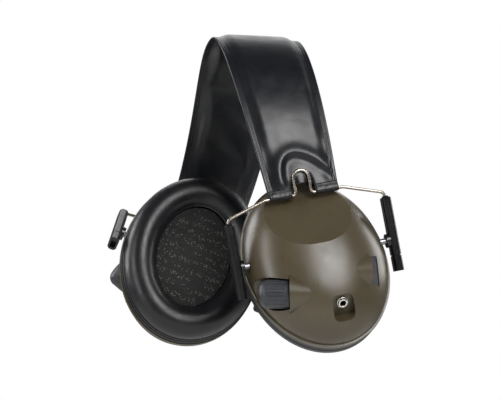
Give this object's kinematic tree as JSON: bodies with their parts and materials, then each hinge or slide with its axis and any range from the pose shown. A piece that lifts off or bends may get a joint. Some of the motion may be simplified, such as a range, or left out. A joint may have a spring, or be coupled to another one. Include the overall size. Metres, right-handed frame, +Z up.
{
  "type": "earmuff hearing protector",
  "caption": "Folding electronic earmuff: padded headband, wire yokes and sliding guides, oval cups with sealing cushions, volume knob, microphone and audio jack",
  "frame": {"origin": "middle of the headband's underside, where it rests on the crown of the head", "axes": "+X the wearer's left, -Y the front, +Z up"},
  "size_m": [0.1638, 0.1764, 0.2163],
  "materials": {
    "leatherette": "black semi-gloss PVC leatherette",
    "pad_foam": "grey polyurethane foam",
    "spring_steel": "rolled spring steel",
    "wire": "bright stainless wire",
    "guide": "glossy black moulded plastic",
    "shell": "satin olive moulded plastic",
    "plate": "black moulded plastic",
    "cushion": "grained PVC skin over foam",
    "acoustic_foam": "open-cell acoustic foam",
    "knob": "dark grey moulded plastic",
    "windscreen": "open-cell microphone foam",
    "nickel": "nickel-plated brass",
    "steel": "zinc-plated steel",
    "electronics": "green circuit laminate",
    "cell": "steel-cased cell"
  },
  "bodies": {
    "headband": {"band_outer_cover": "leatherette", "band_inner_cover": "leatherette", "band_foam_pad": "pad_foam", "band_spring_strip": "spring_steel", "right_hem_sleeve": "leatherette", "left_hem_sleeve": "leatherette"},
    "right_yoke": {"right_wire_yoke": "wire"},
    "right_guides": {"right_front_guide": "guide", "right_rear_guide": "guide"},
    "right_cup": {"right_ear_shell": "shell", "right_pivot_studs": "steel", "right_seal_plate": "plate", "right_plate_screws": "steel", "right_ear_cushion": "cushion", "right_acoustic_foam": "acoustic_foam", "right_speaker": "plate", "right_battery_box": "plate", "right_battery_cells": "cell", "right_circuit_board": "electronics", "right_potentiometer": "steel", "right_jack_socket": "plate", "right_jack_nut": "nickel", "right_microphone": "nickel", "right_mic_windscreen": "windscreen"},
    "right_knob": {"right_volume_knob": "knob"},
    "left_yoke": {"left_wire_yoke": "wire"},
    "left_guides": {"left_front_guide": "guide", "left_rear_guide": "guide"},
    "left_cup": {"left_ear_shell": "shell", "left_pivot_studs": "steel", "left_seal_plate": "plate", "left_plate_screws": "steel", "left_ear_cushion": "cushion", "left_acoustic_foam": "acoustic_foam", "left_speaker": "plate", "left_battery_box": "plate", "left_battery_cells": "cell", "left_circuit_board": "electronics", "left_potentiometer": "steel", "left_jack_socket": "plate", "left_jack_nut": "nickel", "left_microphone": "nickel", "left_mic_windscreen": "windscreen"},
    "left_knob": {"left_volume_knob": "knob"}
  },
  "joints": [
    {"name": "right_fold", "type": "hinge", "parent": "headband", "child": "right_yoke", "pos_m": [-0.066, -0.0225, -0.1112], "axis": [0, 0.9756, -0.2195], "range_deg": [-18, 0]},
    {"name": "right_height", "type": "slide", "parent": "right_yoke", "child": "right_guides", "axis": [0.1736, -0.2162, -0.9608], "range_m": [0, 0.02]},
    {"name": "right_tilt", "type": "hinge", "parent": "right_guides", "child": "right_cup", "pos_m": [-0.05935, -0.03078, -0.148], "axis": [0, -0.9756, 0.2195], "range_deg": [-21, 3]},
    {"name": "right_volume", "type": "hinge", "parent": "right_cup", "child": "right_knob", "pos_m": [-0.07275, -0.01223, -0.17717], "axis": [0.2043, 0.9789, -0.0085], "range_deg": [0, 300]},
    {"name": "left_fold", "type": "hinge", "parent": "headband", "child": "left_yoke", "pos_m": [0.066, 0.024, -0.1112], "axis": [0, 0.9296, 0.3686], "range_deg": [-40, 4]},
    {"name": "left_height", "type": "slide", "parent": "left_yoke", "child": "left_guides", "axis": [-0.766, 0.2369, -0.5975], "range_m": [0, 0.02]},
    {"name": "left_tilt", "type": "hinge", "parent": "left_guides", "child": "left_cup", "pos_m": [0.03666, 0.03308, -0.13409], "axis": [0, -0.9296, -0.3686], "range_deg": [-18, 4]},
    {"name": "left_volume", "type": "hinge", "parent": "left_cup", "child": "left_knob", "pos_m": [0.04091, 0.06599, -0.15062], "axis": [-0.1214, 0.7922, 0.5981], "range_deg": [0, 300]}
  ]
}
